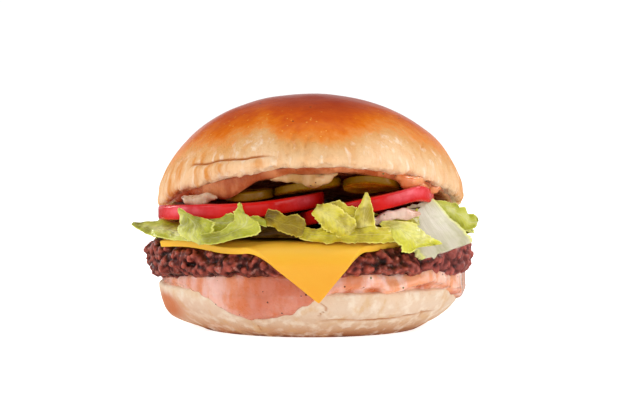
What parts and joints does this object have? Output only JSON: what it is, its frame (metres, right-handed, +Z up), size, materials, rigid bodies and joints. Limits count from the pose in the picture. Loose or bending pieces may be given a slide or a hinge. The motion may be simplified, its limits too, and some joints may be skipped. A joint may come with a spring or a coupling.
{
  "type": "cheeseburger",
  "caption": "Cheeseburger in a round soft bun with a beef patty, a cheese slice hanging corner first, lettuce, tomato, pickles and sauce.",
  "frame": {"origin": "middle of the bun heel's flat underside, on the surface that the burger stands on", "axes": "+Z up; -Y towards the front, where the corner of the cheese slice hangs down and the crown stands open; +X to the right as seen from the front"},
  "size_m": [0.1207, 0.1224, 0.0812],
  "materials": {
    "bun_crust": "egg-washed glossy brown top fading to a pale matt rim",
    "bun_side": "soft matt cream bread",
    "sauce": "glossy wet pinkish-orange sauce with pepper specks",
    "beef": "coarse ground beef, moist dark brown",
    "cheese": "smooth satin yellow-orange",
    "lettuce_leaf": "thin crisp yellow-green leaf, waxy",
    "lettuce_rib": "pale watery leaf rib",
    "tomato": "wet glossy red",
    "pickle": "wet translucent olive brown"
  },
  "bodies": {
    "root": {"heel": "bun_side", "sauce_lower": "sauce", "patty": "beef", "cheese": "cheese", "lettuce": "lettuce_leaf", "lettuce_rib": "lettuce_rib", "tomato_front_left": "tomato", "tomato_front_right": "tomato", "tomato_back_left": "tomato", "tomato_back_right": "tomato", "pickle_left": "pickle", "pickle_middle": "pickle", "pickle_right": "pickle", "sauce_upper": "sauce", "crown": "bun_crust"}
  },
  "joints": []
}
